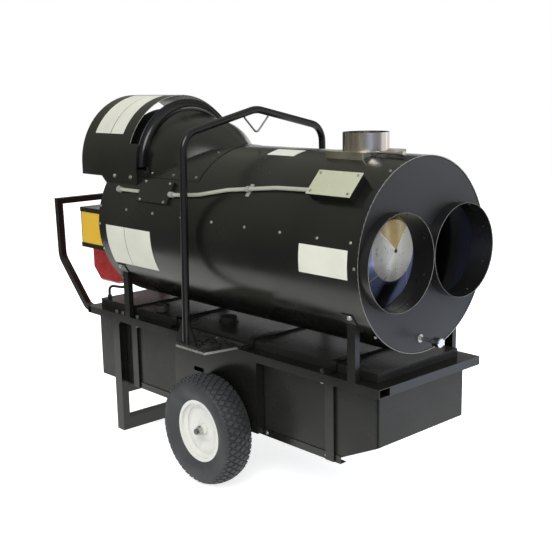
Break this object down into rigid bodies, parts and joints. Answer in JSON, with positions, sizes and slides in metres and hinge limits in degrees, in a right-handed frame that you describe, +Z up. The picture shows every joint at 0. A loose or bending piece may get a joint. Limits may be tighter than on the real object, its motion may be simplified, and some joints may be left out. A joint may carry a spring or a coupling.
{
  "type": "indirect-fired diesel heater",
  "caption": "Mobile indirect-fired diesel heater: a barrel over a fuel tank on a wheeled tube frame, with twin duct collars, flue, burner, intake fan and rain hood.",
  "frame": {"origin": "ground under the middle of the whole object", "axes": "+X towards the warm-air outlets, +Y to the left as seen from the push handle, +Z up"},
  "size_m": [1.8796, 0.749, 1.3339],
  "materials": {
    "black_paint": "gloss powder coat",
    "grey_paint": "satin paint",
    "tank_paint": "gloss paint",
    "white_paint": "gloss paint",
    "yellow_paint": "satin paint",
    "motor_casing": "painted casting",
    "cast_aluminium": "as cast",
    "fan_aluminium": "pressed sheet",
    "galvanised": "zinc coated",
    "bright_steel": "zinc plated",
    "dark_steel": "oiled",
    "stainless": "brushed",
    "heat_steel": "heat-resisting sheet",
    "red_plastic": "gloss",
    "black_plastic": "moulded",
    "grey_plastic": "moulded",
    "conduit_plastic": "ribbed conduit",
    "black_rubber": "smooth",
    "tyre_rubber": "moulded tread"
  },
  "bodies": {
    "heater": {"axle_brackets": "black_paint", "axle_nuts": "bright_steel", "barrel_shell": "black_paint", "base_frame": "black_paint", "burner_body": "cast_aluminium", "burner_cover": "red_plastic", "burner_flange": "cast_aluminium", "burner_tube": "stainless", "chamber_nose": "heat_steel", "chamber_supports": "heat_steel", "combustion_chamber": "heat_steel", "conduit_fittings": "grey_plastic", "conduits": "conduit_plastic", "control_box": "black_paint", "control_box_cover": "yellow_paint", "cradle_legs": "black_paint", "fan_motor": "motor_casing", "fan_shroud": "black_paint", "flue_box": "black_paint", "flue_collar": "stainless", "flue_probe": "stainless", "frame_bolts": "bright_steel", "front_junction_box": "black_paint", "front_plate": "grey_paint", "fuel_gauge": "black_plastic", "fuel_hose": "black_rubber", "fuel_pump": "cast_aluminium", "fuel_tank": "tank_paint", "heat_exchanger": "heat_steel", "hood_brackets": "black_paint", "intake_ring": "black_paint", "intake_transition": "black_paint", "junction_box_lid": "black_paint", "knob_stud": "dark_steel", "left_outlet": "galvanised", "lifting_eye": "bright_steel", "lifting_hoop": "black_paint", "lower_rails": "black_paint", "motor_shelf": "black_paint", "outrigger_plates": "bright_steel", "push_handle": "black_paint", "rain_hood": "black_paint", "rear_leg": "black_paint", "rear_plate": "grey_paint", "right_outlet": "galvanised", "side_cover": "black_paint", "side_struts": "black_paint", "stub_axles": "dark_steel", "switch_bezel": "bright_steel", "tank_straps": "black_paint"},
    "right_wheel": {"right_rim": "white_paint", "right_tyre": "tyre_rubber"},
    "left_wheel": {"left_rim": "white_paint", "left_tyre": "tyre_rubber"},
    "fan": {"fan_rotor": "fan_aluminium"},
    "fuel_cap": {"fuel_cap": "black_plastic"},
    "reset_button": {"reset_button": "black_plastic"},
    "mode_switch": {"mode_switch": "bright_steel"},
    "front_knob": {"front_knob": "bright_steel"}
  },
  "joints": [
    {"name": "right_wheel_spin", "type": "hinge", "parent": "heater", "child": "right_wheel", "pos_m": [0.15875, 0, 0.195], "axis": [0, 1, 0], "continuous": true},
    {"name": "left_wheel_spin", "type": "hinge", "parent": "heater", "child": "left_wheel", "pos_m": [0.15875, 0, 0.195], "axis": [0, 1, 0], "continuous": true},
    {"name": "fan_spin", "type": "hinge", "parent": "heater", "child": "fan", "pos_m": [0, 0, 1.074], "axis": [1, 0, 0], "continuous": true},
    {"name": "fuel_cap_turn", "type": "hinge", "parent": "heater", "child": "fuel_cap", "pos_m": [-0.28725, -0.165, 0.5125], "axis": [0, 0, 1], "range_deg": [0, 90]},
    {"name": "reset_button_press", "type": "slide", "parent": "heater", "child": "reset_button", "axis": [1, 0, 0], "range_m": [0, 0.004], "stiffness_N_per_m": 400},
    {"name": "mode_switch_tilt", "type": "hinge", "parent": "heater", "child": "mode_switch", "pos_m": [-0.71825, -0.188, 0.83106], "axis": [0, 1, 0], "range_deg": [-12, 12]},
    {"name": "front_knob_turn", "type": "hinge", "parent": "heater", "child": "front_knob", "pos_m": [0.93, -0.02, 0.593], "axis": [1, 0, 0], "continuous": true}
  ]
}
